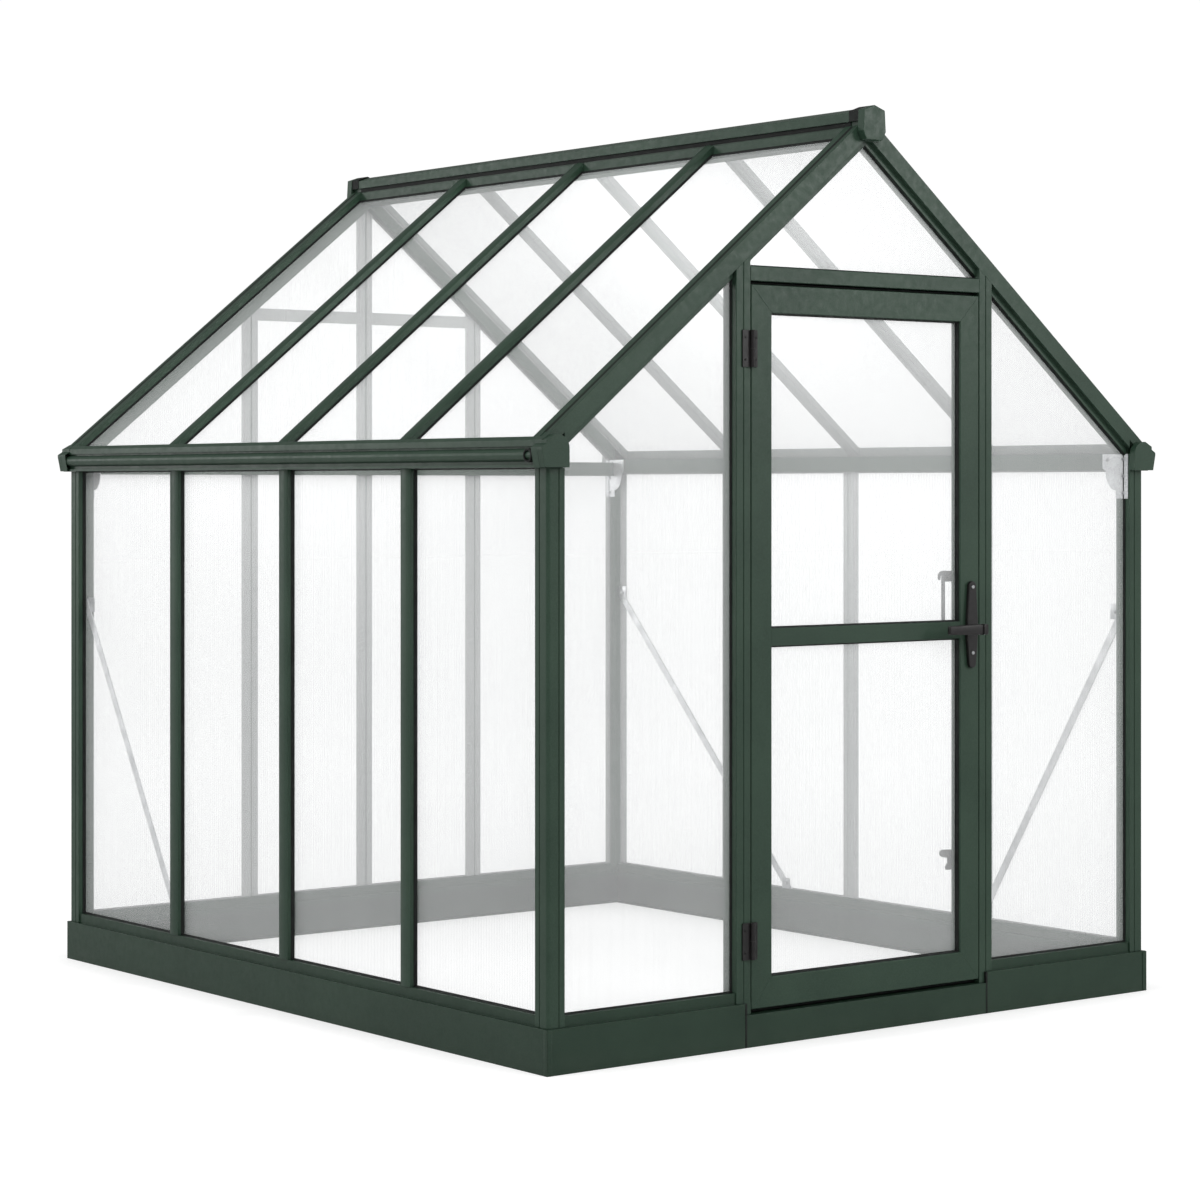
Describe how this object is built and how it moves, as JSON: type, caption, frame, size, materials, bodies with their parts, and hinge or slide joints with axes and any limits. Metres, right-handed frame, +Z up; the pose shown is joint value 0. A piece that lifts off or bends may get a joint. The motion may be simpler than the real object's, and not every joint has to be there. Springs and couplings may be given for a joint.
{
  "type": "greenhouse",
  "caption": "Gable greenhouse with a dark green metal frame on a plinth, twin-wall panels and a hinged front door with a lever handle.",
  "frame": {"origin": "on the ground, at the middle of the whole object's box", "axes": "+Z up, -Y towards the front door, +X to the right seen from the front"},
  "size_m": [1.894, 2.169, 2.117],
  "materials": {
    "frame_green": "dark green powder coat, satin",
    "plinth_green": "dark green painted folded sheet, satin",
    "black_hardware": "black moulded nylon, satin",
    "brace_metal": "bare mill finish",
    "panel": "translucent twin-wall polycarbonate with fine upright walls"
  },
  "bodies": {
    "frame": {"back_mullion_centre": "frame_green", "back_mullion_left": "frame_green", "back_mullion_right": "frame_green", "back_rail": "frame_green", "base_back": "plinth_green", "base_front_left": "plinth_green", "base_front_right": "plinth_green", "base_left": "plinth_green", "base_right": "plinth_green", "brace_left_back": "brace_metal", "brace_right_back": "brace_metal", "brace_right_front": "brace_metal", "corner_post_back_left": "frame_green", "corner_post_back_right": "frame_green", "corner_post_front_left": "frame_green", "corner_post_front_right": "frame_green", "door_header": "frame_green", "door_jamb_left": "frame_green", "door_jamb_right": "frame_green", "door_threshold": "plinth_green", "eave_beam_left": "frame_green", "eave_beam_right": "frame_green", "gable_rafter_back_left": "frame_green", "gable_rafter_back_right": "frame_green", "gable_rafter_front_left": "frame_green", "gable_rafter_front_right": "frame_green", "glazing_back": "panel", "glazing_front_gable": "panel", "glazing_front_left": "panel", "glazing_front_right": "panel", "glazing_roof_left": "panel", "glazing_roof_right": "panel", "glazing_side_left": "panel", "glazing_side_right": "panel", "hinge_lower_fixed_leaf": "black_hardware", "hinge_upper_fixed_leaf": "black_hardware", "mullion_left_1": "frame_green", "mullion_left_2": "frame_green", "mullion_left_3": "frame_green", "mullion_right_1": "frame_green", "mullion_right_2": "frame_green", "mullion_right_3": "frame_green", "ridge_beam": "frame_green", "ridge_cap_front": "frame_green", "roof_rafter_left_1": "frame_green", "roof_rafter_left_2": "frame_green", "roof_rafter_left_3": "frame_green", "roof_rafter_right_1": "frame_green", "roof_rafter_right_2": "frame_green", "roof_rafter_right_3": "frame_green"},
    "door": {"door_rail_bottom": "frame_green", "door_rail_middle": "frame_green", "door_rail_top": "frame_green", "door_stile_hinge": "frame_green", "door_stile_lock": "frame_green", "glazing_door": "panel", "handle_plate": "black_hardware", "hinge_lower_door_leaf": "black_hardware", "hinge_upper_door_leaf": "black_hardware"},
    "lever": {"handle_lever": "black_hardware"}
  },
  "joints": [
    {"name": "door_hinge", "type": "hinge", "parent": "frame", "child": "door", "pos_m": [-0.354, -1.0408, 0.083], "axis": [0, 0, -1], "range_deg": [0, 160]},
    {"name": "lever_turn", "type": "hinge", "parent": "door", "child": "lever", "pos_m": [0.325, -1.0345, 0.91], "axis": [0, -1, 0], "range_deg": [0, 45], "stiffness_Nm_per_rad": 0.8, "springref_deg": -20.05}
  ]
}
